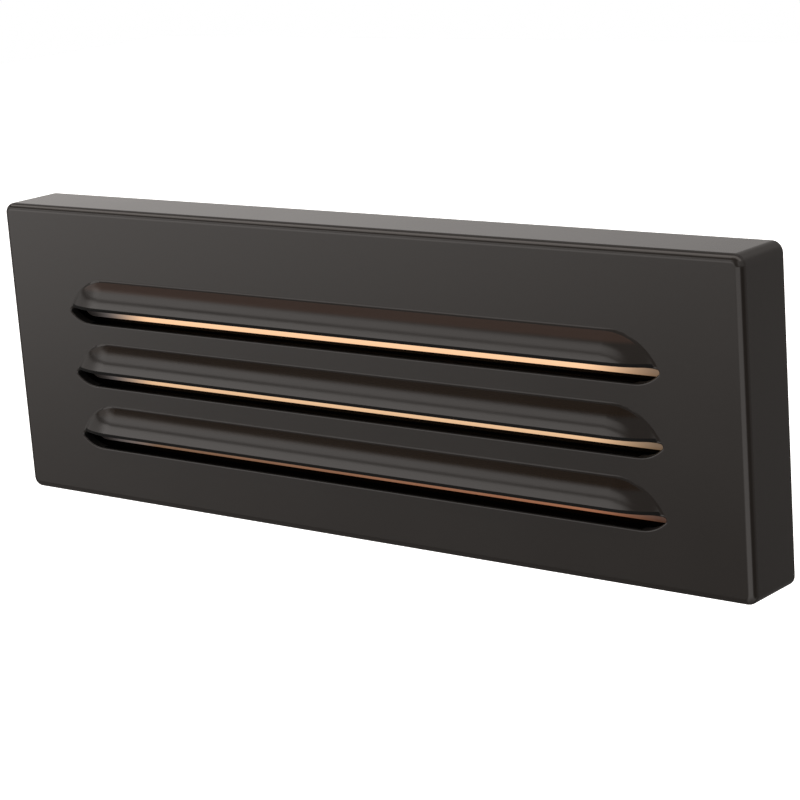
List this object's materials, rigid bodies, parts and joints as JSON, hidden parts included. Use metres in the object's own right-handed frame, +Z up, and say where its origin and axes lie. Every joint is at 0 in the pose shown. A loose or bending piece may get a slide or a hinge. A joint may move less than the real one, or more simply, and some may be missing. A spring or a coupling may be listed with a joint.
{
  "type": "step light",
  "caption": "Wall-mounted louvred step light: a shallow dark bronze cover with outward hoods over lit slots, on a pan with a lamp board and a driver that sits in the wall box.",
  "frame": {"origin": "centre of the light on the wall plane, where the cover's rim and the gasket meet the wall", "axes": "+X to the light's right as seen from the room, +Z up, +Y into the wall; the hoods face -Y"},
  "size_m": [0.228, 0.0589, 0.078],
  "materials": {
    "bronze_paint": "satin dark bronze",
    "black_foam": "matt closed-cell foam",
    "opal_acrylic": "opal, lit warm",
    "zinc_steel": "zinc plated",
    "black_steel": "black oxide",
    "grey_rubber": "matt",
    "white_plastic": "satin white",
    "pink_silicone": "matt heat-conducting pad",
    "white_board": "white solder mask on aluminium",
    "lamp_phosphor": "yellow phosphor",
    "red_sleeve": "satin",
    "black_sleeve": "satin",
    "earth_green": "green dyed",
    "black_plastic": "fine texture",
    "circuit_green": "solder mask",
    "ferrite": "matt",
    "winding_tape": "polyester tape",
    "can_sleeve": "gloss",
    "terminal_grey": "satin",
    "wire_white": "satin"
  },
  "bodies": {
    "base": {"mounting_pan": "zinc_steel", "wall_gasket": "grey_rubber", "reflector_tray": "white_plastic", "thermal_pad": "pink_silicone", "lamp_board": "white_board", "lamps": "lamp_phosphor", "board_screws": "zinc_steel", "board_connector": "white_plastic", "lead_positive": "red_sleeve", "lead_negative": "black_sleeve", "lead_grommet": "grey_rubber", "ground_screw": "earth_green", "driver_case": "black_plastic", "driver_case_screws": "zinc_steel", "driver_circuit": "circuit_green", "driver_transformer": "ferrite", "transformer_winding": "winding_tape", "driver_capacitor": "can_sleeve", "driver_choke": "black_sleeve", "driver_lid": "black_plastic", "driver_lid_screws": "zinc_steel", "supply_terminal": "terminal_grey", "supply_wires": "wire_white"},
    "cover": {"cover": "bronze_paint", "lens_seal": "black_foam", "lens": "opal_acrylic", "lens_frame": "zinc_steel", "lens_frame_screws": "zinc_steel"},
    "left_screw": {"set_screw_left": "black_steel"},
    "right_screw": {"set_screw_right": "black_steel"}
  },
  "joints": [
    {"name": "cover_removal", "type": "slide", "parent": "base", "child": "cover", "axis": [0, -1, 0], "range_m": [0, 0.04]},
    {"name": "left_screw_travel", "type": "slide", "parent": "cover", "child": "left_screw", "axis": [0, 0, -1], "range_m": [0, 0.002]},
    {"name": "right_screw_travel", "type": "slide", "parent": "cover", "child": "right_screw", "axis": [0, 0, -1], "range_m": [0, 0.002]}
  ]
}
